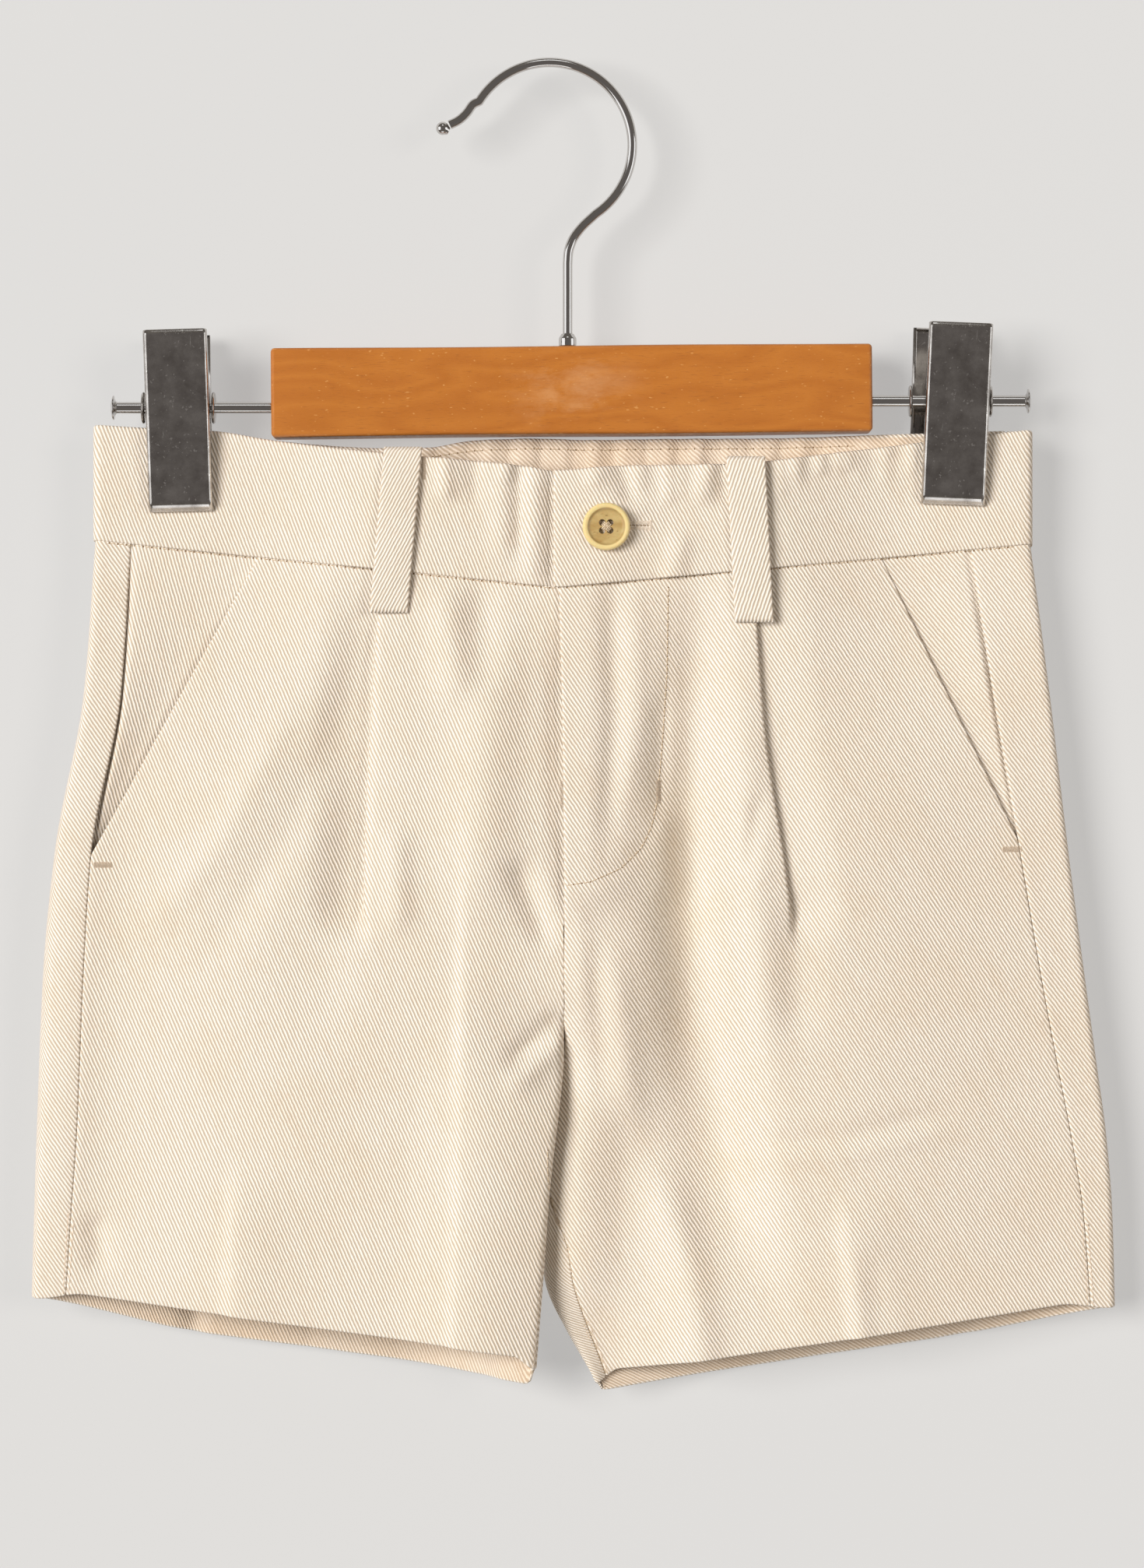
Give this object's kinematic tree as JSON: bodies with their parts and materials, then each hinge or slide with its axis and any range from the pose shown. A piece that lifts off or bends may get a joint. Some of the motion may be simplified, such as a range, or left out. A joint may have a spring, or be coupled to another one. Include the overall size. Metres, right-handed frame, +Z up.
{
  "type": "bermuda shorts on a clip hanger",
  "caption": "Child's pleated cotton-twill bermuda shorts with slant pockets, belt loops and a buttoned waistband, clipped on a small wooden hanger with a wire hook.",
  "frame": {"origin": "where the inside of the hook's bend rests on its rail or wall hook", "axes": "+X to the viewer's right as the front is seen, +Y away from the viewer towards the wall, +Z up"},
  "size_m": [0.2935, 0.0259, 0.3624],
  "materials": {
    "twill": "pale beige cotton twill, matt",
    "button": "horn-coloured polyester resin",
    "bar": "honey-coloured varnished beech, lightly scratched",
    "chrome": "chromed steel, fine scratches"
  },
  "bodies": {
    "root": {"front_right": "twill", "front_left": "twill", "back_right": "twill", "back_left": "twill", "pocket_facing_right": "twill", "pocket_facing_left": "twill", "waistband_front_right": "twill", "waistband_front_left": "twill", "waistband_back": "twill", "belt_loop_front_right": "twill", "belt_loop_front_left": "twill", "belt_loop_back_right": "twill", "belt_loop_back_left": "twill", "button": "button", "bar": "bar", "hook": "chrome", "hook_tip": "chrome", "collar": "chrome", "rod_right": "chrome", "rod_left": "chrome", "clip_front_right": "chrome", "clip_rear_right": "chrome", "spring_right": "chrome", "ear_outer_right": "chrome", "ear_inner_right": "chrome", "clip_front_left": "chrome", "clip_rear_left": "chrome", "spring_left": "chrome", "ear_outer_left": "chrome", "ear_inner_left": "chrome"}
  },
  "joints": []
}
